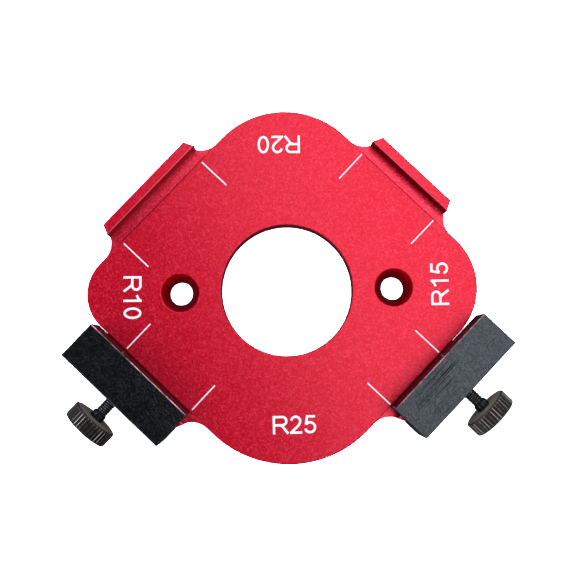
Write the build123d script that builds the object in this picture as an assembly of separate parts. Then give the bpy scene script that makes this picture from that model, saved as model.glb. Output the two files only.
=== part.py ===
from build123d import *
import math
import os

os.makedirs("parts", exist_ok=True)

# Corner radius router jig: a machined plate with a rounded corner template at each corner,
# and two fence blocks that clamp on its raised rails with thumb screws.
# Sizes are in millimetres. Z is up, and the plate lies on its flat back at z = 0.
# The origin is the centre of the large hole, on the plate's back.

# Plate
plate_side = 70.5               # between opposite straight edges
plate_thickness = 5.0
radius_r10 = 10.0
radius_r15 = 15.0
radius_r20 = 20.0
radius_r25 = 25.0
edge_break = 0.25               # small chamfer on the plate's sharp edges

# Tabs with their raised rails, one on each side
tab_setback = 7.25              # from the end of a corner's arc to the end of the tab
band_drop = 0.3                 # the tab's floor lies this far under the plate's face
channel_width = 2.5             # between the plate's edge line and the rail
rail_width = 2.4
rail_height = 4.0               # above the plate's face
rail_end_spread = 1.1           # the rail's inner face is longer than its outer face, at each end
tab_root_radius = 5.0           # hollow curve between a tab's end and the straight edge

# Holes in the plate
centre_hole_diameter = 30.0
screw_hole_diameter = 5.3
countersink_diameter = 8.8
countersink_depth = 2.8
screw_circle_diameter = 48.9    # through the two screw holes, on the R10 to R15 diagonal
screw_line_angle = 45.0         # degrees from +X

# Fence blocks
block_length = 28.8
block_rise = 9.0                # top of the block above the plate's face
block_edge_break = 0.3
outer_jaw_width = 4.2
rail_seat_gap = 0.05            # between the inner jaw and the rail, and on top of the rail
jaw_face_gap = 0.05             # inner jaw's foot above the plate's face
slot_side_gap = 0.35            # between the rail and the outer jaw
foot_gap = 0.5                  # outer jaw's foot above the table
right_block_place = 11.2        # along the right side (Y), from its middle
front_block_place = -11.2       # along the front side (X), from its middle

# Clamp screws: a stud and a knurled knob
thread_diameter = 2.9
thread_fit_gap = 0.05           # radial, in the block and in the knob
screw_axis_rise = 2.2           # screw axis above the plate's face
stud_point_gap = 0.05           # between the stud's point and the rail
stud_point_chamfer = 0.4
collar_diameter = 3.3
collar_length = 1.5
knob_standoff = 5.7             # between the block's outer face and the knob
knob_diameter = 11.2
knob_thickness = 3.65
knob_rim_chamfer = 0.45
knob_bore_depth = 2.6
knob_face_gap = 0.05            # between the collar and the knob, and behind the stud's end
flute_count = 40
flute_depth = 0.3
flute_cutter_radius = 0.38
hole_mouth_chamfer = 0.3

cut_overrun = 1.0               # how far a cutting solid runs past the faces that it opens

# Places worked out from the sizes above
half_side = plate_side / 2
tab_reach = channel_width + rail_width
band_top = plate_thickness - band_drop
rail_top = plate_thickness + rail_height
corner_radii = [radius_r15, radius_r20, radius_r10, radius_r25]  # anticlockwise from (+X, +Y)
side_turn = 360.0 / len(corner_radii)                           # degrees

fence_face = half_side          # in line with the plate's edge
slot_inner = half_side + channel_width - rail_seat_gap
slot_outer = half_side + tab_reach + slot_side_gap
block_outer = slot_outer + outer_jaw_width
block_top = plate_thickness + block_rise
jaw_bottom = plate_thickness + jaw_face_gap
slot_roof = rail_top + rail_seat_gap

screw_axis = plate_thickness + screw_axis_rise
stud_start = half_side + tab_reach + stud_point_gap
knob_start = block_outer + knob_standoff
knob_end = knob_start + knob_thickness
stud_end = knob_start + knob_bore_depth - knob_face_gap


def turned(point, side):
    """A point on the +Y side, turned to the given side of the plate."""
    angle = math.radians(side_turn * side)
    x, y = point
    return (x * math.cos(angle) - y * math.sin(angle), x * math.sin(angle) + y * math.cos(angle))


def tab_points(side, inner_reach):
    """Four points of one tab, anticlockwise, from a line this far outside the edge to its outer face."""
    next_radius = corner_radii[(side + 1) % len(corner_radii)]
    first_end = half_side - corner_radii[side] - tab_setback
    last_end = next_radius + tab_setback - half_side
    spread = rail_end_spread * (tab_reach - inner_reach) / rail_width
    points = [
        (first_end + spread, half_side + inner_reach),
        (first_end, half_side + tab_reach),
        (last_end, half_side + tab_reach),
        (last_end - spread, half_side + inner_reach),
    ]
    return [turned(point, side) for point in points]


def round_at(face, points, radius):
    """Round the corners of a flat face that lie at the given points."""
    for point in points:
        corner = face.vertices().sort_by_distance(Vector(*point))[0]
        face = fillet(corner, radius)
    return face


def plate_outline(with_tabs):
    """The plate seen from above, with or without its four tabs."""
    points = []
    corners = []
    roots = []
    for side in range(len(corner_radii)):
        corners.append(turned((half_side, half_side), side))
        points.append(corners[side])
        if with_tabs:
            tab = tab_points(side, 0)
            points += tab
            roots += [tab[0], tab[3]]
    face = make_face(Polyline(*points, close=True))
    for corner, radius in zip(corners, corner_radii):
        face = round_at(face, [corner], radius)
    return round_at(face, roots, tab_root_radius)


def layer(face, low, high):
    """A flat outline raised into a solid between two heights."""
    return Pos(0, 0, low) * extrude(face, high - low, dir=(0, 0, 1))


def screw_hole():
    """One countersunk hole as a solid to cut away, on the Z axis."""
    hole_radius = screw_hole_diameter / 2
    sink_radius = countersink_diameter / 2
    sink_slope = (sink_radius - hole_radius) / countersink_depth
    top = plate_thickness + cut_overrun
    profile = Polyline(
        (0, -cut_overrun),
        (hole_radius, -cut_overrun),
        (hole_radius, plate_thickness - countersink_depth),
        (sink_radius + sink_slope * cut_overrun, top),
        (0, top),
        close=True,
    )
    return revolve(make_face(Plane.XZ * profile), Axis.Z)


def centre_hole():
    """The large hole with its broken top edge, as a solid to cut away."""
    hole_radius = centre_hole_diameter / 2
    top = plate_thickness + cut_overrun
    profile = Polyline(
        (0, -cut_overrun),
        (hole_radius, -cut_overrun),
        (hole_radius, plate_thickness - edge_break),
        (hole_radius + edge_break + cut_overrun, top),
        (0, top),
        close=True,
    )
    return revolve(make_face(Plane.XZ * profile), Axis.Z)


def base_plate():
    """The plate, its stepped tabs, rails and holes, machined from one piece."""
    floor = layer(plate_outline(True), 0, band_top)
    floor = chamfer(floor.edges().group_by(Axis.Z)[0], edge_break)
    face_layer = layer(plate_outline(False), band_top / 2, plate_thickness)
    plate = floor + chamfer(face_layer.edges().group_by(Axis.Z)[-1], edge_break)
    for side in range(len(corner_radii)):
        rail_face = make_face(Polyline(*tab_points(side, channel_width), close=True)) & plate_outline(True)
        rail = layer(rail_face, band_top / 2, rail_top)
        plate += chamfer(rail.edges().group_by(Axis.Z)[-1], edge_break)
    plate -= centre_hole()
    for side in range(2):
        angle = screw_line_angle + side * side_turn * 2
        plate -= Rot(0, 0, angle) * Pos(screw_circle_diameter / 2, 0, 0) * screw_hole()
    return plate


def fence_block():
    """A block that straddles the rail on the +X side, with its screw axis at y = 0."""
    profile = Polyline(
        (fence_face, jaw_bottom),
        (fence_face, block_top),
        (block_outer, block_top),
        (block_outer, foot_gap),
        (slot_outer, foot_gap),
        (slot_outer, slot_roof),
        (slot_inner, slot_roof),
        (slot_inner, jaw_bottom),
        close=True,
    )
    block = extrude(make_face(Plane.XZ * profile), block_length / 2, both=True)
    broken_edges = block.edges().group_by(Axis.Z)[-1]
    end_faces = block.faces().sort_by(Axis.Y)
    for end_face in (end_faces[0], end_faces[-1]):
        upright_edges = end_face.edges().filter_by(Axis.Z).sort_by(Axis.X)
        broken_edges += [upright_edges[0], upright_edges[-1]]
    block = chamfer(broken_edges, block_edge_break)
    hole_radius = thread_diameter / 2 + thread_fit_gap
    hole_profile = Polyline(
        (slot_outer - cut_overrun, 0),
        (slot_outer - cut_overrun, hole_radius),
        (block_outer - hole_mouth_chamfer, hole_radius),
        (block_outer + cut_overrun, hole_radius + hole_mouth_chamfer + cut_overrun),
        (block_outer + cut_overrun, 0),
        close=True,
    )
    hole = revolve(make_face(hole_profile), Axis.X)
    return block - Pos(0, 0, screw_axis) * hole


def clamp_stud():
    """The stud of the +X side's screw, with a chamfered point and a collar under the knob."""
    stud_radius = thread_diameter / 2
    collar_end = knob_start - knob_face_gap
    profile = Polyline(
        (stud_start, 0),
        (stud_start, stud_radius - stud_point_chamfer),
        (stud_start + stud_point_chamfer, stud_radius),
        (collar_end - collar_length, stud_radius),
        (collar_end - collar_length, collar_diameter / 2),
        (collar_end, collar_diameter / 2),
        (collar_end, stud_radius),
        (stud_end, stud_radius),
        (stud_end, 0),
        close=True,
    )
    return Pos(0, 0, screw_axis) * revolve(make_face(profile), Axis.X)


def clamp_knob():
    """The knurled knob of the +X side's screw: straight flutes round a disc with a blind bore."""
    knob_radius = knob_diameter / 2
    bore_radius = thread_diameter / 2 + thread_fit_gap
    profile = Polyline(
        (knob_start, bore_radius),
        (knob_start, knob_radius - knob_rim_chamfer),
        (knob_start + knob_rim_chamfer, knob_radius),
        (knob_end - knob_rim_chamfer, knob_radius),
        (knob_end, knob_radius - knob_rim_chamfer),
        (knob_end, 0),
        (knob_start + knob_bore_depth, 0),
        (knob_start + knob_bore_depth, bore_radius),
        close=True,
    )
    disc = revolve(make_face(profile), Axis.X)
    cutter = Circle(flute_cutter_radius)
    flutes = [
        location * cutter
        for location in PolarLocations(knob_radius - flute_depth + flute_cutter_radius, flute_count)
    ]
    start = Pos(knob_start - cut_overrun, 0, 0) * Rot(0, 90, 0)
    cutters = [start * extrude(flute, knob_thickness + 2 * cut_overrun) for flute in flutes]
    return Pos(0, 0, screw_axis) * (disc - cutters)


def place_right(solid):
    """Move a clamp piece along the right side to where it is clamped."""
    return Pos(0, right_block_place, 0) * solid


def place_front(solid):
    """Turn a clamp piece to the front side and move it to where it is clamped."""
    return Pos(front_block_place, 0, 0) * Rot(0, 0, -side_turn) * solid


nodes = {"base_plate": base_plate()}
clamp_pieces = {"fence_block": fence_block(), "clamp_stud": clamp_stud(), "clamp_knob": clamp_knob()}
for piece_name, piece in clamp_pieces.items():
    nodes["right_" + piece_name] = place_right(piece)
    nodes["front_" + piece_name] = place_front(piece)

for node_name, solid in nodes.items():
    solid.label = node_name
    export_step(solid, "parts/" + node_name + ".step")
    print(node_name, round(solid.volume, 2), "mm3")
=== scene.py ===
import cmath
import math

import bmesh
import bpy
from mathutils import Matrix, Vector


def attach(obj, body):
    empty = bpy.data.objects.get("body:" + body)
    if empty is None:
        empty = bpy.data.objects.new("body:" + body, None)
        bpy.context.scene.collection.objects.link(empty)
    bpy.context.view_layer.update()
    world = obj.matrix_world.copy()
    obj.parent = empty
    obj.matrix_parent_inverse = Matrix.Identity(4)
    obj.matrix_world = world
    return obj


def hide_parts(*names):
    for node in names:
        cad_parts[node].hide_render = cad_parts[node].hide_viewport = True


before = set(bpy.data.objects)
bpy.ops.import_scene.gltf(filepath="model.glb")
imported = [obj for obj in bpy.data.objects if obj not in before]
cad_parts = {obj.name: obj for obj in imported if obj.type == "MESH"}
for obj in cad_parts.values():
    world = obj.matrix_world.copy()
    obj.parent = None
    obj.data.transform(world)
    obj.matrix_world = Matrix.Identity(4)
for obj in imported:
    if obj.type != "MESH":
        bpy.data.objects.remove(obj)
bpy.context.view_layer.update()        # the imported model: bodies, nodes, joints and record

# Sizes in the dictionaries are in millimetres unless a note says otherwise. The meshes are in metres.
mm = 0.001
weldDistance = 1e-8      # metres
leastRadius = 1e-6       # metres, so that nothing is divided by zero on an axis
noiseRange = (0.3, 0.7)  # where most of a noise texture's values lie


def grey(value):
    return value, value, value, 1


def addNode(tree, kind, inputs=None, **settings):
    node = tree.nodes.new(kind)
    for name, value in settings.items():
        setattr(node, name, value)
    for socket, value in (inputs or {}).items():
        if isinstance(value, bpy.types.NodeSocket):
            tree.links.new(value, node.inputs[socket])
        else:
            node.inputs[socket].default_value = value
    return node


def mathNode(tree, operation, first, second=0.0):
    return addNode(tree, "ShaderNodeMath", {0: first, 1: second}, operation=operation).outputs[0]


def times(tree, first, second):
    return mathNode(tree, "MULTIPLY", first, second)


def bakedMesh(piece):
    bpy.context.view_layer.update()
    evaluated = piece.evaluated_get(bpy.context.evaluated_depsgraph_get())
    return bpy.data.meshes.new_from_object(evaluated)


def newPiece(name, mesh):
    piece = bpy.data.objects.new(name, mesh)
    bpy.context.scene.collection.objects.link(piece)
    return piece


def settle(piece):  # applies every modifier, so that a plain mesh is left
    mesh = bakedMesh(piece)
    piece.modifiers.clear()
    piece.data = mesh
    return piece


def smoothEdges(piece, angle=34, faceWeight=80):  # soft shading over small rounds, flat faces kept flat
    piece.data.shade_smooth()
    piece.data.set_sharp_from_angle(angle=math.radians(angle))
    evener = piece.modifiers.new("evenFaces", "WEIGHTED_NORMAL")
    evener.keep_sharp = True
    evener.weight = faceWeight
    return settle(piece)


def paint(piece, finish):
    piece.data.materials.clear()
    piece.data.materials.append(finish)


def joinSolid(piece, other, operation):
    cut = piece.modifiers.new(operation.lower(), "BOOLEAN")
    cut.operation = operation
    cut.solver = "EXACT"
    cut.object = other
    settle(piece)
    bpy.data.objects.remove(other)
    return piece


def meshFromBmesh(name, built):
    bmesh.ops.remove_doubles(built, verts=built.verts, dist=weldDistance)
    bmesh.ops.recalc_face_normals(built, faces=built.faces)
    mesh = bpy.data.meshes.new(name)
    built.to_mesh(mesh)
    built.free()
    return mesh


def joinLoops(built, loops):  # side faces between loops that have the same count of points
    for lower, upper in zip(loops, loops[1:]):
        for index in range(len(lower)):
            follow = (index + 1) % len(lower)
            built.faces.new((lower[index], lower[follow], upper[follow], upper[index]))


def filletedLoop(corners, radii, arcSteps, inset=0.0):
    # An anticlockwise outline with rounded corners, moved inwards by the inset. No inset changes its
    # count of points.
    # Points are complex numbers, so that the arcs which two outlines share agree to the last digit.
    corners = [complex(*corner) for corner in corners]
    edges = []
    for here, ahead in zip(corners, corners[1:] + corners[:1]):
        along = (ahead - here) / abs(ahead - here)
        edges.append((here + along * 1j * inset, along))
    points = []
    for index, radius in enumerate(radii):
        (startA, alongA), (startB, alongB) = edges[index - 1], edges[index]
        bend = (alongA.conjugate() * alongB).imag
        corner = startA + alongA * (((startB - startA).conjugate() * alongB).imag / bend)
        if radius == 0:
            points.append(corner)
            continue
        side = 1 if bend > 0 else -1
        radius = radius - inset * side
        turn = cmath.phase(alongB / alongA)
        spoke = -alongA * 1j * radius * side
        center = corner - alongA * radius * math.tan(abs(turn) / 2) - spoke
        points += [center + spoke * cmath.rect(1, turn * step / arcSteps) for step in range(arcSteps + 1)]
    return [(round(point.real, 6), round(point.imag, 6)) for point in points]


def topRound(high, size, steps=3):  # heights and insets of the loops that round a prism's top edge
    angles = [math.pi / 2 * step / steps for step in range(steps + 1)]
    return [(high - size * (1 - math.sin(angle)), size * (1 - math.cos(angle))) for angle in angles]


def roundedStack(low, high, lowRound, highRound):  # the same for a prism that is rounded at both ends
    foot = [(2 * low - height, inset) for height, inset in reversed(topRound(low, lowRound))]
    return foot + topRound(high, highRound)


def prismMesh(name, corners, radii, arcSteps, levels):
    built = bmesh.new()
    loops = []
    for height, inset in levels:
        outline = filletedLoop(corners, radii, arcSteps, inset)
        loops.append([built.verts.new((x * mm, y * mm, height * mm)) for x, y in outline])
    joinLoops(built, loops)
    built.faces.new(list(reversed(loops[0])))
    built.faces.new(loops[-1])
    return meshFromBmesh(name, built)


def latheMesh(name, profile, segments):
    # Turns a profile of (radius, height) points round Z. It starts and ends on the axis.
    built = bmesh.new()
    angles = [2 * math.pi * index / segments for index in range(segments)]
    rings = []
    for radius, height in profile:
        ring = [(radius * math.cos(angle), radius * math.sin(angle), height) for angle in angles]
        rings.append([built.verts.new((x * mm, y * mm, z * mm)) for x, y, z in ring])
    joinLoops(built, rings)
    return meshFromBmesh(name, built)


def cornerArc(center, radius, start, end, steps=4):  # points of a round in a profile, angles in degrees
    across, up = radius if isinstance(radius, tuple) else (radius, radius)
    angles = [math.radians(start + (end - start) * step / steps) for step in range(steps + 1)]
    return [(center[0] + across * math.cos(angle), center[1] + up * math.sin(angle)) for angle in angles]


def evenSteps(start, end, count):  # the values between two ends, without the ends
    return [start + (end - start) * step / count for step in range(1, count)]


photoCamera = {
    "place": (9.309, -12.668, 219.197),
    "target": (-0.183, 0.503, 5.0),
    "upTurn": 133.463,     # degrees from +X to what is up in the picture
    "lens": 58.69,
    "sensor": 36.0,
    "sight": (0.01, 20),   # nearest and farthest, in metres
}


def setCamera(sizes):
    place = Vector(sizes["place"]) * mm
    ahead = (Vector(sizes["target"]) * mm - place).normalized()
    turn = math.radians(sizes["upTurn"])
    across = ahead.cross(Vector((math.cos(turn), math.sin(turn), 0))).normalized()
    lens = bpy.data.cameras.new("photoCamera")
    lens.lens = sizes["lens"]
    lens.sensor_width = sizes["sensor"]
    lens.clip_start, lens.clip_end = sizes["sight"]
    camera = newPiece("photoCamera", lens)
    axes = Matrix((across, across.cross(ahead), -ahead)).transposed().to_4x4()
    camera.matrix_world = Matrix.Translation(place) @ axes
    bpy.context.scene.camera = camera


setCamera(photoCamera)
print("camera set")

studio = {
    "floorSize": 3000.0,
    "floorDrop": 0.05,
    "paper": 4.6,            # the paper as it is seen, lit past white
    "paperGlow": 0.97,       # and how light it stays far from the lamps
    "paperBounce": 0.11,     # the light that it throws back on the jig
    "backdrop": 1.0,
    "sky": 0.08,
    "tint": (0.93, 1.00, 1.12),
    "power": 4,              # watts per square metre at a brightness of one
    # azimuth from +X and elevation in degrees, distance, width, height, brightness
    "softboxes": {
        "mainSoftbox": (70, 76, 600, 730, 310, 1.78),
        "backSoftbox": (236, 50, 600, 640, 225, 1.8),
        "farSoftbox": (100, 38, 600, 440, 320, 2.0),
        "leftSoftbox": (190, 38, 600, 440, 320, 1.6),
        "nearSoftbox": (280, 36, 600, 440, 300, 1.5),
        "rightSoftbox": (10, 36, 600, 440, 300, 0.9),
        "lowSoftbox": (94, 10, 600, 340, 80, 5.0),
        "lowLeftSoftbox": (175, 9, 600, 280, 60, 3.0),
    },
}


def addFloor(sizes):
    half = sizes["floorSize"] / 2 * mm
    built = bmesh.new()
    corners = [built.verts.new((x * half, y * half, -sizes["floorDrop"] * mm))
               for x, y in ((-1, -1), (1, -1), (1, 1), (-1, 1))]
    built.faces.new(corners)
    mesh = bpy.data.meshes.new("paleFloor")
    built.to_mesh(mesh)
    built.free()
    floor = newPiece("paleFloor", mesh)
    finish = bpy.data.materials.new("palePaper")
    finish.use_nodes = True
    tree = finish.node_tree
    tree.nodes.clear()
    paper = addNode(tree, "ShaderNodeBsdfDiffuse", {"Color": grey(sizes["paper"])}).outputs[0]
    glow = addNode(tree, "ShaderNodeEmission", {"Strength": sizes["paperGlow"]}).outputs[0]
    paper = addNode(tree, "ShaderNodeAddShader", {0: paper, 1: glow}).outputs[0]
    bounce = addNode(tree, "ShaderNodeBsdfDiffuse", {"Color": grey(sizes["paperBounce"])}).outputs[0]
    direct = addNode(tree, "ShaderNodeLightPath").outputs["Is Camera Ray"]
    blend = addNode(tree, "ShaderNodeMixShader", {0: direct, 1: bounce, 2: paper}).outputs[0]
    addNode(tree, "ShaderNodeOutputMaterial", {"Surface": blend})
    paint(floor, finish)


def addSoftbox(name, azimuth, elevation, distance, width, height, brightness):
    lamp = bpy.data.lights.new(name, "AREA")
    lamp.shape = "RECTANGLE"
    lamp.size = width * mm
    lamp.size_y = height * mm
    lamp.energy = brightness * studio["power"] * lamp.size * lamp.size_y
    lamp.color = studio["tint"]
    box = newPiece(name, lamp)
    box.visible_camera = False
    azimuth, elevation = math.radians(azimuth), math.radians(elevation)
    away = Vector((math.cos(azimuth) * math.cos(elevation), math.sin(azimuth) * math.cos(elevation),
                   math.sin(elevation)))
    facing = away.to_track_quat("Z", "Y").to_matrix().to_4x4()
    box.matrix_world = Matrix.Translation(away * distance * mm) @ facing


def setSky(sizes):
    world = bpy.data.worlds.new("paleStudio")
    world.use_nodes = True
    tree = world.node_tree
    tree.nodes.clear()
    sky, backdrop = [addNode(tree, "ShaderNodeBackground", {"Strength": sizes[name], "Color": grey(1)})
                     for name in ("sky", "backdrop")]
    direct = addNode(tree, "ShaderNodeLightPath").outputs["Is Camera Ray"]
    blend = addNode(tree, "ShaderNodeMixShader",
                    {0: direct, 1: sky.outputs[0], 2: backdrop.outputs[0]}).outputs[0]
    addNode(tree, "ShaderNodeOutputWorld", {"Surface": blend})
    bpy.context.scene.world = world


addFloor(studio)
setSky(studio)
for boxName, boxValues in studio["softboxes"].items():
    addSoftbox(boxName, *boxValues)
bpy.context.scene.view_settings.view_transform = "Standard"
print("floor and light set")


def newFinish(name, color, metallic=1.0, roughness=0.5, specular=0.5):
    finish = bpy.data.materials.new(name)
    finish.use_nodes = True
    finish.diffuse_color = (*color, 1)
    shader = finish.node_tree.nodes["Principled BSDF"]
    shader.inputs["Base Color"].default_value = (*color, 1)
    shader.inputs["Metallic"].default_value = metallic
    shader.inputs["Roughness"].default_value = roughness
    shader.inputs["Specular IOR Level"].default_value = specular
    return finish, finish.node_tree, shader


def objectPlace(tree):
    return addNode(tree, "ShaderNodeTexCoord").outputs["Object"]


def stored(tree, name):
    return addNode(tree, "ShaderNodeAttribute", attribute_name=name).outputs["Fac"]


def colorRamp(tree, factor, stops, colors):
    ramp = addNode(tree, "ShaderNodeValToRGB", {"Fac": factor})
    ends = ramp.color_ramp.elements
    ends[0].position, ends[1].position = stops[0], stops[-1]
    ends[0].color, ends[1].color = (*colors[0], 1), (*colors[-1], 1)
    for position, color in zip(stops[1:-1], colors[1:-1]):
        ramp.color_ramp.elements.new(position).color = (*color, 1)
    return ramp.outputs["Color"]


def mixColor(tree, share, under, over):
    over = (*over, 1) if isinstance(over, tuple) else over
    # a mix node has sockets for each kind of value: inputs 6 and 7 and output 2 are the colours
    return addNode(tree, "ShaderNodeMix", {0: share, 6: under, 7: over}, data_type="RGBA").outputs[2]


def noise(tree, place, scale, detail=2.0, roughness=0.55):
    texture = addNode(tree, "ShaderNodeTexNoise", {"Vector": place, "Scale": scale, "Detail": detail,
                                                   "Roughness": roughness})
    return texture.outputs["Fac"]


def remap(tree, value, source, target=(0.0, 1.0)):
    node = addNode(tree, "ShaderNodeMapRange", {"Value": value, "From Min": source[0], "From Max": source[1],
                                                "To Min": target[0], "To Max": target[1]})
    return node.outputs["Result"]


def between(tree, value, low, high):
    return times(tree, mathNode(tree, "GREATER_THAN", value, low), mathNode(tree, "LESS_THAN", value, high))


def insideBand(tree, value, low, high, soft):
    rise = remap(tree, value, (low - soft, low + soft))
    return times(tree, rise, remap(tree, value, (high - soft, high + soft), (1.0, 0.0)))


def bump(tree, height, strength, depth, under=None):
    node = addNode(tree, "ShaderNodeBump", {"Height": height, "Strength": strength, "Distance": depth})
    if under is not None:
        tree.links.new(under, node.inputs["Normal"])
    return node.outputs["Normal"]


redLook = {
    "blasted": ((0.505, 0.0004, 0.008), (0.605, 0.0026, 0.022), (0.715, 0.0300, 0.062)),
    # the tabs' floors, cut after blasting
    "milled": ((0.580, 0.0020, 0.015), (0.690, 0.0120, 0.038), (0.830, 0.0600, 0.105)),
    "toneStops": (0.25, 0.5, 0.75),      # where those tones stand on the grain's scale
    "grazing": (0.30, 0.02, 0.05, 1),    # its gloss where it is seen edge on
    "grainScale": 2700.0,                # per metre, as the other scales
    "cloudScale": 90.0,
    "cloudShare": (-0.015, 0.015),
    "roughness": (0.37, 0.42),
    "pitScale": 3510.0,
    "pitStrength": 0.5,
    "pitDepth": 0.000040,                # metres, as the places and heights below
    # a tab's floor lies outside this and between these heights
    "floorStart": 0.03527,
    "floorHeights": (0.0046, 0.0048),
    "floorSmoother": -0.07,
    # the rails' inner walls are darker, a painted shade: how far out they stand and their heights
    "wall": (0.280, 0.0005, 0.006),
    "wallPlace": (0.03768, 0.03782),
    "wallHeights": (0.0049, 0.0088),
    # and the rounds above them are paler, a painted highlight along the rails' inner top edges
    "rubbed": (0.880, 0.1050, 0.155),
    "rubbedPlace": (0.03776, 0.03802),
    "rubbedHeights": (0.00880, 0.00899),
    "sheen": 0.37,                       # clear oxide skin over the dye
    "sheenRoughness": 0.21,
}


def redAnodised(look):
    finish, tree, shader = newFinish("redAnodised", look["blasted"][1])
    place = objectPlace(tree)
    grain = noise(tree, place, look["grainScale"], detail=1.0, roughness=0.5)
    cloud = remap(tree, noise(tree, place, look["cloudScale"]), noiseRange, look["cloudShare"])
    blend = mathNode(tree, "ADD", grain, cloud)
    blasted = colorRamp(tree, blend, look["toneStops"], look["blasted"])
    milled = colorRamp(tree, blend, look["toneStops"], look["milled"])
    axes = addNode(tree, "ShaderNodeSeparateXYZ", {0: place}).outputs
    reach = mathNode(tree, "MAXIMUM", *[mathNode(tree, "ABSOLUTE", axes[axis]) for axis in "XY"])
    onFloor = times(tree, mathNode(tree, "GREATER_THAN", reach, look["floorStart"]),
                    between(tree, axes["Z"], *look["floorHeights"]))
    color = mixColor(tree, onFloor, blasted, milled)
    # painted shade on the rails' inner walls and a painted highlight on the rounds above them
    for part in ("wall", "rubbed"):
        paintedLightMask = times(tree, between(tree, reach, *look[part + "Place"]),
                       between(tree, axes["Z"], *look[part + "Heights"]))
        color = mixColor(tree, paintedLightMask, color, look[part])
    tree.links.new(color, shader.inputs["Base Color"])
    rough = mathNode(tree, "ADD", remap(tree, grain, noiseRange, look["roughness"]),
                     times(tree, onFloor, look["floorSmoother"]))
    tree.links.new(rough, shader.inputs["Roughness"])
    shader.inputs["Specular Tint"].default_value = look["grazing"]
    pits = noise(tree, place, look["pitScale"], detail=1.0, roughness=0.5)
    relief = bump(tree, pits, look["pitStrength"], look["pitDepth"])
    tree.links.new(relief, shader.inputs["Normal"])
    tree.links.new(relief, shader.inputs["Coat Normal"])
    shader.inputs["Coat Weight"].default_value = look["sheen"]
    shader.inputs["Coat Roughness"].default_value = look["sheenRoughness"]
    return finish


blackLook = {
    "tones": ((0.0262, 0.0275, 0.0275), (0.0550, 0.0575, 0.0575)),
    "toneStops": (0.1, 0.9),
    "grazing": 0.25,             # how much of its gloss is left where it is seen edge on
    "roughness": 0.18,
    "relief": 0.5,
    "grainScale": 2450.0,
    "grainShare": (0, 0.8),
    "grainDepth": 0.000110,
    "fleckScale": 735.0,
    "fleckShare": (0, 0.2),
    # the lighter specks are dusty, so that they show where nothing bright is mirrored
    "speckRange": (0.45, 0.85),
    "speckMetal": (1.0, 0.86),
    # fine scratches along the block: a close group on the right one, a few faint ones on both
    "scratch": (0.0040, 0.0040, 0.0045),
    "scratchRougher": 0.25,
    "lineScales": (4000.0, 45.0, 1000.0),  # across, along and down the block, per metre
    "lineRange": (0.46, 0.40),
    "lineDepth": -0.000020,
    "patchScale": 120.0,
    "patchRange": (0.56, 0.66),
    "patchShare": (0.0, 0.5),
    # the group's lowest and highest x, then y, each with the width of its soft edge, in metres
    "scratched": ((0.0362, 0.0395, 0.0002), (0.0005, 0.0130, 0.0015)),
    # edges that boards and the hand have rubbed paler, with a painted highlight there, tinted pink as a
    # painted reflection of the red plate
    "wearAndPaintedSheen": (0.62, 0.35, 0.41),
    "wearSheenScale": 110.0,
    "wearSheenRange": (0.36, 0.60),
    "wearSheenShare": (0.05, 1.0),
    "wearSheenFleckRange": (0.35, 0.6),
    "wearSheenFleckShare": (0.4, 1.0),
}


def blackAnodised(name, look, alongY):
    finish, tree, shader = newFinish(name, look["tones"][1], roughness=look["roughness"])
    shader.inputs["Specular Tint"].default_value = grey(look["grazing"])
    place = objectPlace(tree)
    across, along, down = look["lineScales"]
    stretch = (across, along, down) if alongY else (along, across, down)
    lines = addNode(tree, "ShaderNodeMapping", {"Vector": place, "Scale": stretch}).outputs["Vector"]
    grain = noise(tree, place, look["grainScale"], detail=1.0, roughness=0.5)
    fleck = noise(tree, place, look["fleckScale"], roughness=0.6)
    blend = mathNode(tree, "ADD", remap(tree, grain, noiseRange, look["grainShare"]),
                     remap(tree, fleck, noiseRange, look["fleckShare"]))
    tone = colorRamp(tree, blend, look["toneStops"], look["tones"])
    patch = noise(tree, place, look["patchScale"], detail=1.0)
    patch = remap(tree, patch, look["patchRange"], look["patchShare"])
    if alongY:
        axes = addNode(tree, "ShaderNodeSeparateXYZ", {0: place}).outputs
        bandX, bandY = look["scratched"]
        group = times(tree, insideBand(tree, axes["X"], *bandX), insideBand(tree, axes["Y"], *bandY))
        patch = mathNode(tree, "MAXIMUM", patch, group)
    cut = times(tree, remap(tree, noise(tree, lines, 1.0, roughness=0.5), look["lineRange"]), patch)
    scratched = mixColor(tree, cut, tone, look["scratch"])
    # paler, pinkish edges: partly wear, partly a painted highlight and a painted reflection of the red plate
    uneven = noise(tree, place, look["wearSheenScale"], detail=3.0, roughness=0.7)
    uneven = remap(tree, uneven, look["wearSheenRange"], look["wearSheenShare"])
    rubbed = times(tree, times(tree, stored(tree, "edgeWearAndSheen"), uneven),
                   remap(tree, fleck, look["wearSheenFleckRange"], look["wearSheenFleckShare"]))
    tree.links.new(mixColor(tree, rubbed, scratched, look["wearAndPaintedSheen"]), shader.inputs["Base Color"])
    tree.links.new(remap(tree, blend, look["speckRange"], look["speckMetal"]), shader.inputs["Metallic"])
    rough = mathNode(tree, "ADD", look["roughness"], times(tree, cut, look["scratchRougher"]))
    tree.links.new(rough, shader.inputs["Roughness"])
    relief = bump(tree, grain, look["relief"], look["grainDepth"])
    tree.links.new(bump(tree, cut, look["relief"], look["lineDepth"], relief), shader.inputs["Normal"])
    return finish


gunmetalLook = {
    "tones": ((0.022, 0.018, 0.016), (0.052, 0.044, 0.039)),
    "toneStops": (0.3, 0.75),
    "grainScale": 3000.0,
    "grainRelief": 0.2,
    "roughness": (0.16, 0.22),
    # the tops between the flutes, rubbed bright
    "crest": (0.275, 0.247, 0.222),
    "crestRange": (0.3, 0.6),
    "crestShare": (0.55, 1.0),
    # the turned flat faces
    "face": (0.54, 0.440, 0.350),
    "faceEdge": (5.02, 5.14),   # where a face ends and the fluted rim starts, from the axis
    "faceMetal": (1.0, 0.35),
    "faceRougher": 0.2,
    "ringScale": 7.0,
    "ringRelief": 0.7,
    "ringDepth": 0.000004,      # metres
    "plainRoughness": 0.25,
}


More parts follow.
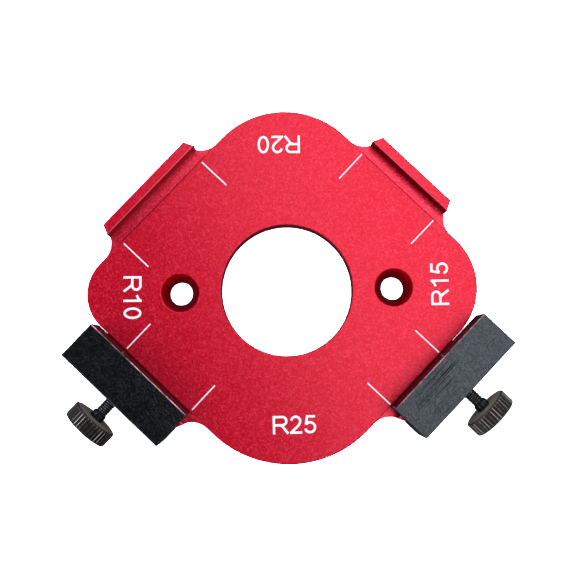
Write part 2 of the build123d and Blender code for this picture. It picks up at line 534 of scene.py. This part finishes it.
def gunmetal(look):
    finish, tree, shader = newFinish("gunmetalSteel", look["tones"][1], roughness=look["plainRoughness"])
    grain = noise(tree, objectPlace(tree), look["grainScale"], detail=3.0, roughness=0.6)
    rim = colorRamp(tree, grain, look["toneStops"], look["tones"])
    rubbed = times(tree, stored(tree, "crest"), remap(tree, grain, look["crestRange"], look["crestShare"]))
    rim = mixColor(tree, rubbed, rim, look["crest"])
    radius = stored(tree, "turning")
    rings = addNode(tree, "ShaderNodeTexNoise", {"W": radius, "Scale": look["ringScale"], "Detail": 3.0},
                    noise_dimensions="1D").outputs["Fac"]
    onFace = remap(tree, radius, look["faceEdge"], (1.0, 0.0))
    tree.links.new(mixColor(tree, onFace, rim, look["face"]), shader.inputs["Base Color"])
    tree.links.new(remap(tree, onFace, (0.0, 1.0), look["faceMetal"]), shader.inputs["Metallic"])
    rough = mathNode(tree, "ADD", remap(tree, grain, noiseRange, look["roughness"]),
                     times(tree, onFace, look["faceRougher"]))
    tree.links.new(rough, shader.inputs["Roughness"])
    relief = bump(tree, rings, look["ringRelief"], look["ringDepth"])
    tree.links.new(bump(tree, grain, look["grainRelief"], look["ringDepth"], relief), shader.inputs["Normal"])
    return finish


blackSteelLook = {
    "tones": ((0.0015, 0.0015, 0.0017), (0.0060, 0.0060, 0.0068)),
    "toneStops": (0.35, 0.8),
    "grainScale": 2500.0,
    "roughness": (0.18, 0.30),
    "plain": {"metallic": 0.3, "roughness": 0.3, "specular": 0.3},
    "metal": (0.3, 1.0),           # of the black, and where it is rubbed off
    # the thread's tops, where the black is rubbed off
    "crest": (0.40, 0.41, 0.43),
    "crestRange": (0.7, 1.0),
    "crestGrainRange": (0.35, 0.60),
    "crestGrainShare": (0.3, 1.0),
}


def blackSteel(look):
    finish, tree, shader = newFinish("blackSteel", look["tones"][0], **look["plain"])
    grain = noise(tree, objectPlace(tree), look["grainScale"], detail=3.0, roughness=0.6)
    black = colorRamp(tree, grain, look["toneStops"], look["tones"])
    rubbed = times(tree, remap(tree, stored(tree, "crest"), look["crestRange"]),
                   remap(tree, grain, look["crestGrainRange"], look["crestGrainShare"]))
    tree.links.new(mixColor(tree, rubbed, black, look["crest"]), shader.inputs["Base Color"])
    tree.links.new(remap(tree, rubbed, (0.0, 1.0), look["metal"]), shader.inputs["Metallic"])
    tree.links.new(remap(tree, grain, noiseRange, look["roughness"]), shader.inputs["Roughness"])
    return finish


markLook = {
    "tones": ((0.86, 0.70, 0.73), (1.0, 0.93, 0.945)),
    "toneStops": (0.2, 0.5),
    "grainScale": 2600.0,
    "plain": {"metallic": 0.0, "roughness": 0.65, "specular": 0.3},
    "glow": 0.12,                  # bright paint that also glows a little, painted light, so that the camera shows it as plain white
}


def whiteMark(look):
    finish, tree, shader = newFinish("whiteMark", look["tones"][1], **look["plain"])
    grain = noise(tree, objectPlace(tree), look["grainScale"])
    tree.links.new(colorRamp(tree, grain, look["toneStops"], look["tones"]), shader.inputs["Base Color"])
    # the marks glow a little though they are no lamp: painted light
    shader.inputs["Emission Color"].default_value = (*look["tones"][1], 1)
    shader.inputs["Emission Strength"].default_value = look["glow"]
    return finish


redFinish = redAnodised(redLook)
rightBlockFinish = blackAnodised("blackAnodisedRight", blackLook, True)
frontBlockFinish = blackAnodised("blackAnodisedFront", blackLook, False)
knobFinish = gunmetal(gunmetalLook)
studFinish = blackSteel(blackSteelLook)
markFinish = whiteMark(markLook)
print("finishes made")

plateSizes = {
    "side": 70.5,
    "thickness": 5.0,
    "cornerRadii": (15.0, 20.0, 10.0, 25.0),   # anticlockwise from (+X, +Y)
    "tabSetback": 7.25,
    "bandDrop": 0.3,
    "channelWidth": 2.5,
    "railWidth": 2.4,
    "railTop": 9.0,
    "railEndSpread": 1.1,
    "rootRadius": 5.0,
    "tabCornerRadius": 0.3,
    "edgeRound": 0.25,
    "arcSteps": 40,
    "holeRadius": 15.0,
    "holeSegments": 256,
    "screwHoleRadius": 2.65,
    "screwHoleSegments": 96,
    "screwHoleTurns": (45, 225),               # degrees from +X
    "screwCircleRadius": 24.45,
    "sinkRadius": 4.4,
    "sinkDepth": 2.8,
    "sinkRound": 0.15,
    "sinkRoundMiddle": (0.2, 0.3),             # in parts of the round, back along the cone and down
    "overrun": 1.0,
}


def turnedPoint(point, side):  # a point on the +Y side, turned by quarter turns to another side
    x, y = point
    for _ in range(side):
        x, y = -y, x
    return x, y


def tabCorners(sizes, side):  # four corners of a tab, anticlockwise, from the plate's edge line
    radii = sizes["cornerRadii"]
    half = sizes["side"] / 2
    reach = sizes["channelWidth"] + sizes["railWidth"]
    spread = sizes["railEndSpread"] * reach / sizes["railWidth"]
    first = half - radii[side] - sizes["tabSetback"]
    last = radii[(side + 1) % 4] + sizes["tabSetback"] - half
    points = [(first + spread, half), (first, half + reach), (last, half + reach), (last - spread, half)]
    return [turnedPoint(point, side) for point in points]


def plateBody(sizes):
    half = sizes["side"] / 2
    faceCorners = [turnedPoint((half, half), side) for side in range(4)]
    floorCorners, floorRadii = [], []
    for side in range(4):
        floorCorners += [faceCorners[side]] + tabCorners(sizes, side)
        floorRadii += [sizes["cornerRadii"][side], sizes["rootRadius"], sizes["tabCornerRadius"],
                       sizes["tabCornerRadius"], sizes["rootRadius"]]
    bandTop, edge, railTop = sizes["thickness"] - sizes["bandDrop"], sizes["edgeRound"], sizes["railTop"]
    levels = roundedStack(0, railTop, edge, edge)
    blank = prismMesh("templatePlate", floorCorners, floorRadii, sizes["arcSteps"], levels)
    body = newPiece("templatePlate", blank)
    # all that lies inside the rails' inner faces comes down to the tabs' floor, cut by a square that
    # widens at its top, so that the rails' inner edges are rounded too
    reach = half + sizes["channelWidth"]
    square = [turnedPoint((reach, reach), side) for side in range(4)]
    levels = [(bandTop, 0.0)] + [(height, -inset) for height, inset in topRound(railTop, edge)]
    levels.append((railTop + sizes["overrun"], -edge))
    cutter = prismMesh("insideCutter", square, [0] * 4, 1, levels)
    joinSolid(body, newPiece("insideCutter", cutter), "DIFFERENCE")
    # the raised face, which starts inside the body
    levels = [(bandTop / 2, 0.0)] + topRound(sizes["thickness"], edge)
    face = prismMesh("faceLayer", faceCorners, sizes["cornerRadii"], sizes["arcSteps"], levels)
    return joinSolid(body, newPiece("faceLayer", face), "UNION")


def holeFoot(radius, mouth, low):  # the start of a hole's profile, opened by a round on the plate's back
    return [(0, low), (radius + mouth, low)] + cornerArc((radius + mouth, mouth), mouth, -90, -180)


def cutPlateHoles(body, sizes):
    top, low, high = sizes["thickness"], -sizes["overrun"], sizes["thickness"] + sizes["overrun"]
    radius, mouth = sizes["holeRadius"], sizes["edgeRound"]
    profile = holeFoot(radius, mouth, low) + cornerArc((radius + mouth, top - mouth), mouth, 180, 90)
    profile += [(radius + mouth, high), (0, high)]
    cutter = latheMesh("centreCutter", profile, sizes["holeSegments"])
    joinSolid(body, newPiece("centreCutter", cutter), "DIFFERENCE")
    radius, mouth, sink = sizes["screwHoleRadius"], sizes["sinkRound"], sizes["sinkRadius"]
    slope = (sink - radius) / sizes["sinkDepth"]
    back, down = sizes["sinkRoundMiddle"]
    profile = holeFoot(radius, mouth, low)
    profile += [(radius, top - sizes["sinkDepth"]), (sink - slope * mouth, top - mouth),
                (sink - slope * mouth * back, top - mouth * down), (sink + mouth, top), (sink + mouth, high),
                (0, high)]
    for turn in sizes["screwHoleTurns"]:
        cutter = latheMesh("screwHoleCutter", profile, sizes["screwHoleSegments"])
        offset = Matrix.Translation((sizes["screwCircleRadius"] * mm, 0, 0))
        cutter.transform(Matrix.Rotation(math.radians(turn), 4, "Z") @ offset)
        joinSolid(body, newPiece("screwHoleCutter", cutter), "DIFFERENCE")
    return body


plate = cutPlateHoles(plateBody(plateSizes), plateSizes)
smoothEdges(plate)
paint(plate, redFinish)
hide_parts("base_plate")
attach(plate, "plate")
print("plate made:", len(plate.data.polygons), "faces")

markSizes = {
    "face": 5.0,
    "sink": 0.02,           # how far the filling reaches into the face
    "proud": 0.008,
    "width": 0.29,
    # each mark from its outer to its inner end
    "lines": (((-34.5, -17.97), (-26.7, -17.95)), ((-34.6, 7.95), (-26.85, 8.0)),
              ((34.9, -2.72), (27.8, -2.76)), ((34.9, 13.53), (27.55, 13.48)),
              ((3.08, -34.5), (3.04, -27.0)), ((-17.24, -34.7), (-17.27, -27.05)),
              ((-9.13, 34.8), (-9.05, 27.05)), ((13.36, 34.9), (13.34, 27.4))),
}


def startTree(name, inputs, output):  # also gives the identifiers by which a modifier sets the inputs
    tree = bpy.data.node_groups.new(name, "GeometryNodeTree")
    sockets = {}
    for label, kind in inputs.items():
        socket = tree.interface.new_socket(label, in_out="INPUT", socket_type="NodeSocket" + kind)
        sockets[label] = socket.identifier
    tree.interface.new_socket(output, in_out="OUTPUT", socket_type="NodeSocketGeometry")
    return tree, sockets, addNode(tree, "NodeGroupInput").outputs


def endTree(tree, geometry, finish):  # hands out real geometry with its finish
    real = addNode(tree, "GeometryNodeRealizeInstances", {"Geometry": geometry}).outputs["Geometry"]
    dressed = addNode(tree, "GeometryNodeSetMaterial", {"Geometry": real, "Material": finish})
    addNode(tree, "NodeGroupOutput", {0: dressed.outputs["Geometry"]})


def runTree(piece, tree, sockets, values):  # runs a node tree on a piece and leaves a plain mesh
    maker = piece.modifiers.new(tree.name, "NODES")
    maker.node_group = tree
    for label, value in values.items():
        maker[sockets[label]] = value
    return settle(piece)


def ribbonTree():
    inputs = {"Lines": "Geometry", "Width": "Float", "Depth": "Float", "Finish": "Material"}
    tree, sockets, source = startTree("markRibbons", inputs, "Ribbons")
    curve = addNode(tree, "GeometryNodeMeshToCurve", {"Mesh": source["Lines"]}).outputs["Curve"]
    section = addNode(tree, "GeometryNodeCurvePrimitiveQuadrilateral",
                      {"Width": source["Width"], "Height": source["Depth"]}).outputs["Curve"]
    swept = addNode(tree, "GeometryNodeCurveToMesh",
                    {"Curve": curve, "Profile Curve": section, "Fill Caps": True}).outputs["Mesh"]
    endTree(tree, swept, source["Finish"])
    return tree, sockets


def cornerMarks(sizes):
    middle = sizes["face"] - (sizes["sink"] - sizes["proud"]) / 2
    built = bmesh.new()
    for line in sizes["lines"]:
        built.edges.new([built.verts.new((x * mm, y * mm, middle * mm)) for x, y in line])
    mesh = bpy.data.meshes.new("cornerMarks")
    built.to_mesh(mesh)
    built.free()
    return runTree(newPiece("cornerMarks", mesh), *ribbonTree(), {
        "Width": sizes["width"] * mm,
        "Depth": (sizes["sink"] + sizes["proud"]) * mm,
        "Finish": markFinish,
    })


marks = cornerMarks(markSizes)
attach(marks, "plate")
print("corner marks made:", len(marks.data.polygons), "faces")

labelSizes = {
    "height": 4.12,
    "stroke": 0.122,         # in parts of the height
    "shift": -0.10,          # along the reading direction
    "sharpest": 0.5,         # least cosine of half a bend, which keeps sharp bends short
    # text, middle of the text, and the way it reads in degrees from +X
    "labels": (("R25", (22.28, -20.93), 44.9), ("R20", (-24.72, 23.13), -135.9),
               ("R15", (24.28, 25.23), 134.6), ("R10", (-24.34, -25.59), -45.9)),
}

# Each sign's space before it, step to the next sign and middle lines of its strokes, in parts of the height
signs = {
    "R": (0.11, 1.008, (
        [(0.0675, 0.0), (0.0675, 1.0)],
        [(0.03, 0.935), (0.52, 0.935)] + cornerArc((0.52, 0.711), (0.2325, 0.224), 80, -80, 14)
        + [(0.52, 0.487), (0.03, 0.487)],
        [(0.34, 0.487), (0.46, 0.465), (0.55, 0.40), (0.845, 0.02)])),
    "1": (0.152, 0.777, (
        [(0.3175, 0.0), (0.3175, 1.0)],
        [(0.345, 0.965), (0.25, 0.862), (0.14, 0.79), (0.01, 0.735)])),
    "2": (0.047, 0.777, (
        cornerArc((0.325, 0.68), (0.245, 0.255), 168, -25, 18)
        + [(0.48, 0.465), (0.36, 0.345), (0.22, 0.225), (0.13, 0.125), (0.085, 0.045)],
        [(0.0, 0.065), (0.663, 0.065)])),
    "5": (0.059, 0.777, (
        [(0.13, 0.935), (0.60, 0.935)],
        [(0.178, 1.0), (0.085, 0.49)],
        cornerArc((0.315, 0.3375), (0.2725, 0.27), 144, -164, 24))),
    "0": (0.059, 0.777, (
        cornerArc((0.325, 0.5), (0.2575, 0.4325), 89, 271, 20),
        cornerArc((0.325, 0.5), (0.2575, 0.4325), -91, 91, 20))),
}


def strokePiece(points, width, sharpest):  # a stroke of even width along its middle line, one high
    points = [Vector(point) for point in points]
    ways = [(ahead - here).normalized() for here, ahead in zip(points, points[1:])]
    left, right = [], []
    for point, before, after in zip(points, ways[:1] + ways, ways + ways[-1:]):
        along = (before + after).normalized()
        normal = Vector((-along.y, along.x)) * width / 2 / max(along.dot(before), sharpest)
        left.append(point + normal)
        right.append(point - normal)
    outline = right + list(reversed(left))
    built = bmesh.new()
    lower, upper = [[built.verts.new((point.x, point.y, height)) for point in outline] for height in (0, 1)]
    joinLoops(built, [lower, upper])
    built.faces.new(list(reversed(lower)))
    built.faces.new(upper)
    return newPiece("stroke", meshFromBmesh("stroke", built))


def signMesh(strokes, sizes):
    first, *others = [strokePiece(stroke, sizes["stroke"], sizes["sharpest"]) for stroke in strokes]
    for other in others:
        joinSolid(first, other, "UNION")
    mesh = first.data
    bpy.data.objects.remove(first)
    return mesh


def radiusLabels(sizes, face, sink, proud):
    height = sizes["height"] * mm
    meshes = {sign: signMesh(strokes, sizes) for sign, (before, step, strokes) in signs.items()}
    size = Matrix.Diagonal((height, height, (sink + proud) * mm, 1))
    built = bmesh.new()
    for text, (x, y), turn in sizes["labels"]:
        starts, pen = [], 0.0
        for sign in text:
            starts.append(pen + signs[sign][0])
            pen += signs[sign][1]
        first = min(vertex.co.x for vertex in meshes[text[0]].vertices) + starts[0]
        last = max(vertex.co.x for vertex in meshes[text[-1]].vertices) + starts[-1]
        place = Matrix.Translation((x * mm, y * mm, (face - sink) * mm))
        place = place @ Matrix.Rotation(math.radians(turn), 4, "Z") @ size
        for sign, start in zip(text, starts):
            across = start - (first + last) / 2 + sizes["shift"] / sizes["height"]
            copy = meshes[sign].copy()
            copy.transform(place @ Matrix.Translation((across, -0.5, 0)))  # from its foot line to its middle
            built.from_mesh(copy)
            bpy.data.meshes.remove(copy)
    return newPiece("radiusLabels", meshFromBmesh("radiusLabels", built))


labels = radiusLabels(labelSizes, markSizes["face"], markSizes["sink"], markSizes["proud"])
paint(labels, markFinish)
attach(labels, "plate")
print("size marks made:", len(labels.data.polygons), "faces")

blockSizes = {
    "length": 28.8,
    "top": 14.0,
    "fenceFace": 35.25,
    "slotInner": 37.7,
    "slotOuter": 40.5,
    "outer": 44.7,
    "jawFoot": 5.05,
    "slotRoof": 9.05,
    "foot": 0.5,
    "edgeRound": 0.28,
    "slotRound": 0.15,
    "endRound": 0.135,
    "arcSteps": 4,
    "screwAxis": 7.2,
    "fromMiddle": 11.2,       # of the block's side to the block's own middle
    "holeRadius": 1.5,
    "holeMouth": 0.3,
    "holeSegments": 64,
    "overrun": 1.0,
    "wearSheenWithin": 0.252,      # of an edge's two faces
    "wearSheenEdges": (1.0, 0.1),  # the long edge over the plate, which boards bear on, and the one over the screw; both also carry the painted highlight
}
clampPlaces = {  # how each clamp piece, made on the +X side with its screw axis at y = 0, comes to its side
    "right": Matrix.Translation((0, blockSizes["fromMiddle"] * mm, 0)),
    "front": (Matrix.Translation((-blockSizes["fromMiddle"] * mm, 0, 0))
              @ Matrix.Rotation(math.radians(-90), 4, "Z")),
}


def ontoScrewAxis(mesh, height):  # lays what was turned round Z along X, at the screw's height
    mesh.transform(Matrix.Translation((0, 0, height * mm)) @ Matrix.Rotation(math.pi / 2, 4, "Y"))


def fenceBlock(name, sizes):
    corners = [(sizes["fenceFace"], sizes["jawFoot"]), (sizes["slotInner"], sizes["jawFoot"]),
               (sizes["slotInner"], sizes["slotRoof"]), (sizes["slotOuter"], sizes["slotRoof"]),
               (sizes["slotOuter"], sizes["foot"]), (sizes["outer"], sizes["foot"]),
               (sizes["outer"], sizes["top"]), (sizes["fenceFace"], sizes["top"])]
    outerRound, slotRound = sizes["edgeRound"], sizes["slotRound"]
    radii = [outerRound] + [slotRound] * 4 + [outerRound] * 3
    half = sizes["length"] / 2
    levels = roundedStack(-half, half, sizes["endRound"], sizes["endRound"])
    mesh = prismMesh(name, corners, radii, sizes["arcSteps"], levels)
    # the outline was drawn as (x, z), so it is stood up with its length along Y
    mesh.transform(Matrix(((1, 0, 0, 0), (0, 0, -1, 0), (0, 1, 0, 0), (0, 0, 0, 1))))
    block = newPiece(name, mesh)
    radius, mouth = sizes["holeRadius"], sizes["holeMouth"]
    low, high = sizes["slotOuter"] - sizes["overrun"], sizes["outer"] + sizes["overrun"]
    profile = [(0, low), (radius, low), (radius, sizes["outer"] - mouth),
               (radius + mouth, sizes["outer"]), (radius + mouth, high), (0, high)]
    cutter = latheMesh("tappedHole", profile, sizes["holeSegments"])
    ontoScrewAxis(cutter, sizes["screwAxis"])
    joinSolid(block, newPiece("tappedHole", cutter), "DIFFERENCE")
    wearAndSheen = block.data.attributes.new("edgeWearAndSheen", "FLOAT", "POINT")  # how worn each point is and how much painted highlight it gets, for the finish
    overPlate, overScrew = sizes["wearSheenEdges"]
    for index, vertex in enumerate(block.data.vertices):
        nearTop = sizes["top"] - vertex.co.z / mm < sizes["wearSheenWithin"]
        nearFace = vertex.co.x / mm - sizes["fenceFace"] < sizes["wearSheenWithin"]
        nearOuter = sizes["outer"] - vertex.co.x / mm < sizes["wearSheenWithin"]
        wearAndSheen.data[index].value = nearTop * (overPlate * nearFace + overScrew * nearOuter)
    return block


for side, finish in (("right", rightBlockFinish), ("front", frontBlockFinish)):
    block = fenceBlock(side + "FenceBlock", blockSizes)
    block.data.transform(clampPlaces[side])
    smoothEdges(block)
    paint(block, finish)
    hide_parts(side + "_fence_block")
    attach(block, side + "_block")
    print(side, "fence block made:", len(block.data.polygons), "faces")

studSizes = {
    "start": 40.2,
    "radius": 1.45,
    "pointRound": 0.4,
    "pointMiddle": (0.45, 0.5),  # in parts of the point's round, inwards and along
    "threadDepth": 0.24,
    "threadFlank": (0.12, 0.7),  # where a flank starts and how long it is, in parts of half the pitch
    "pitch": 0.5,                # a right-hand thread
    "threadEnd": 48.7,
    "neckStart": 48.72,
    "neckInset": 0.1,
    "collarStart": 48.85,
    "collarEnd": 50.35,
    "collarRadius": 1.65,
    "collarRound": 0.12,
    "end": 52.95,
    "endChamfer": 0.2,
    "axis": 7.2,
    "rowsPerTurn": 10,
    "segments": 72,
    "softAngle": 38,
}


def aroundAxis(tree):  # each point's place, with its distance from Z and its angle round it
    position = addNode(tree, "GeometryNodeInputPosition").outputs[0]
    place = addNode(tree, "ShaderNodeSeparateXYZ", {0: position}).outputs
    squares = mathNode(tree, "ADD", times(tree, place["X"], place["X"]), times(tree, place["Y"], place["Y"]))
    return place, mathNode(tree, "SQRT", squares), mathNode(tree, "ARCTAN2", place["Y"], place["X"])


def lessThan(tree, first, second):
    return addNode(tree, "FunctionNodeCompare", {0: first, 1: second}, data_type="FLOAT",
                   operation="LESS_THAN").outputs[0]


def carve(tree, blank, place, radius, limit, chosen, crest):
    # Draws the chosen points in to a distance from Z, and stores how near each is to a crest, for the finish
    share = mathNode(tree, "DIVIDE", mathNode(tree, "MINIMUM", radius, limit),
                     mathNode(tree, "MAXIMUM", radius, leastRadius))
    moved = addNode(tree, "ShaderNodeCombineXYZ", {"X": times(tree, place["X"], share),
                                                   "Y": times(tree, place["Y"], share),
                                                   "Z": place["Z"]}).outputs[0]
    cut = addNode(tree, "GeometryNodeSetPosition",
                  {"Geometry": blank, "Selection": chosen, "Position": moved})
    marked = addNode(tree, "GeometryNodeStoreNamedAttribute",
                     {"Geometry": cut.outputs["Geometry"], "Name": "crest", "Value": crest},
                     data_type="FLOAT", domain="POINT")
    return marked.outputs["Geometry"]


def threadTree(sizes):
    inputs = {"Blank": "Geometry", "Crest Radius": "Float", "Depth": "Float", "Pitch": "Float",
              "Thread End": "Float", "Finish": "Material"}
    tree, sockets, source = startTree("cutThread", inputs, "Stud")
    place, radius, angle = aroundAxis(tree)
    turn = mathNode(tree, "DIVIDE", angle, 2 * math.pi)
    phase = mathNode(tree, "SUBTRACT", mathNode(tree, "DIVIDE", place["Z"], source["Pitch"]), turn)
    wave = times(tree, mathNode(tree, "PINGPONG", phase, 0.5), 2.0)  # from 0 on a crest to 1 in a root
    start, length = sizes["threadFlank"]
    climb = mathNode(tree, "DIVIDE", mathNode(tree, "SUBTRACT", wave, start), length)
    flank = addNode(tree, "ShaderNodeClamp", {"Value": climb}).outputs[0]
    limit = mathNode(tree, "SUBTRACT", source["Crest Radius"], times(tree, flank, source["Depth"]))
    threaded = lessThan(tree, place["Z"], source["Thread End"])
    crest = times(tree, threaded, mathNode(tree, "SUBTRACT", 1.0, flank))
    endTree(tree, carve(tree, source["Blank"], place, radius, limit, threaded, crest), source["Finish"])
    return tree, sockets


def clampStud(name, sizes, tree, sockets):
    radius, point, start = sizes["radius"], sizes["pointRound"], sizes["start"]
    inwards, along = sizes["pointMiddle"]
    profile = [(0, start), (radius - point, start), (radius - point * inwards, start + point * along),
               (radius, start + point)]
    length = sizes["threadEnd"] - start - point
    rows = round(length / sizes["pitch"] * sizes["rowsPerTurn"])
    profile += [(radius, start + point + length * row / rows) for row in range(1, rows + 1)]
    neck, collar, edge = radius - sizes["neckInset"], sizes["collarRadius"], sizes["collarRound"]
    end, chamfer = sizes["end"], sizes["endChamfer"]
    profile += [(neck, sizes["neckStart"]), (neck, sizes["collarStart"])]
    profile += cornerArc((collar - edge, sizes["collarStart"] + edge), edge, -90, 0)
    profile += cornerArc((collar - edge, sizes["collarEnd"] - edge), edge, 0, 90)
    profile += [(neck, sizes["collarEnd"]), (neck, end - chamfer), (neck - chamfer, end), (0, end)]
    stud = newPiece(name, latheMesh(name, profile, sizes["segments"]))
    runTree(stud, tree, sockets, {
        "Crest Radius": radius * mm,
        "Depth": sizes["threadDepth"] * mm,
        "Pitch": sizes["pitch"] * mm,
        "Thread End": (sizes["threadEnd"] + sizes["neckStart"]) / 2 * mm,
        "Finish": studFinish,
    })
    ontoScrewAxis(stud.data, sizes["axis"])
    return stud


studTree, studSockets = threadTree(studSizes)
for side in clampPlaces:
    stud = clampStud(side + "ClampStud", studSizes, studTree, studSockets)
    stud.data.transform(clampPlaces[side])
    smoothEdges(stud, studSizes["softAngle"])
    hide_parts(side + "_clamp_stud")
    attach(stud, side + "_stud")
    print(side, "clamp stud made:", len(stud.data.polygons), "faces")

knobSizes = {
    "start": 50.4,
    "thickness": 3.65,
    "radius": 5.6,
    "rimRound": 0.45,
    "rimRoundSteps": 7,
    "boreRadius": 1.5,
    "boreDepth": 2.6,
    "boreChamfer": 0.1,
    "flatSteps": 4,               # loops across a flat face and along the rim
    "fluteCount": 40,
    "fluteDepth": 0.3,
    "fluteRadius": 0.38,
    "crestShares": (0.80, 0.95),  # sideways from a flute's middle, in parts of its radius
    "axis": 7.2,
    "segmentsPerFlute": 12,
    "softAngle": 40,
}


def fluteTree(sizes):
    inputs = {"Blank": "Geometry", "Flutes": "Int", "Cutter Radius": "Float", "Cutter Circle": "Float",
              "Finish": "Material"}
    tree, sockets, source = startTree("cutFlutes", inputs, "Knob")
    place, radius, angle = aroundAxis(tree)
    offset = mathNode(tree, "PINGPONG", angle, mathNode(tree, "DIVIDE", math.pi, source["Flutes"]))
    cutter, circle = source["Cutter Radius"], source["Cutter Circle"]
    sideways = times(tree, circle, mathNode(tree, "SINE", offset))
    inside = mathNode(tree, "SUBTRACT", times(tree, cutter, cutter), times(tree, sideways, sideways))
    wall = mathNode(tree, "SUBTRACT", times(tree, circle, mathNode(tree, "COSINE", offset)),
                    mathNode(tree, "SQRT", mathNode(tree, "MAXIMUM", inside, 0.0)))
    crest = remap(tree, mathNode(tree, "DIVIDE", sideways, cutter), sizes["crestShares"])
    inFlute = lessThan(tree, sideways, cutter)
    endTree(tree, carve(tree, source["Blank"], place, radius, wall, inFlute, crest), source["Finish"])
    return tree, sockets


def clampKnob(name, sizes, tree, sockets):
    start, edge, steps, flat = sizes["start"], sizes["rimRound"], sizes["rimRoundSteps"], sizes["flatSteps"]
    radius, face, end = sizes["radius"], sizes["radius"] - edge, start + sizes["thickness"]
    bore, inner = start + sizes["boreDepth"], sizes["boreRadius"]
    mouth = inner + sizes["boreChamfer"]
    profile = [(0, bore), (inner, bore), (inner, start + sizes["boreChamfer"]), (mouth, start)]
    profile += [(value, start) for value in evenSteps(mouth, face, flat)]
    profile += cornerArc((face, start + edge), edge, -90, 0, steps)
    profile += [(radius, value) for value in evenSteps(start + edge, end - edge, flat)]
    profile += cornerArc((face, end - edge), edge, 0, 90, steps)
    profile += [(value, end) for value in evenSteps(face, 0, flat)] + [(0, end)]
    knob = newPiece(name, latheMesh(name, profile, sizes["fluteCount"] * sizes["segmentsPerFlute"]))
    runTree(knob, tree, sockets, {
        "Flutes": sizes["fluteCount"],
        "Cutter Radius": sizes["fluteRadius"] * mm,
        "Cutter Circle": (radius - sizes["fluteDepth"] + sizes["fluteRadius"]) * mm,
        "Finish": knobFinish,
    })
    turning = knob.data.attributes.new("turning", "FLOAT", "POINT")  # distance from the axis, for lathe lines
    for index, vertex in enumerate(knob.data.vertices):
        turning.data[index].value = math.hypot(vertex.co.x, vertex.co.y) / mm
    ontoScrewAxis(knob.data, sizes["axis"])
    return knob


knobTree, knobSockets = fluteTree(knobSizes)
for side in clampPlaces:
    knob = clampKnob(side + "ClampKnob", knobSizes, knobTree, knobSockets)
    knob.data.transform(clampPlaces[side])
    smoothEdges(knob, knobSizes["softAngle"])
    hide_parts(side + "_clamp_knob")
    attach(knob, side + "_knob")
    print(side, "clamp knob made:", len(knob.data.polygons), "faces")
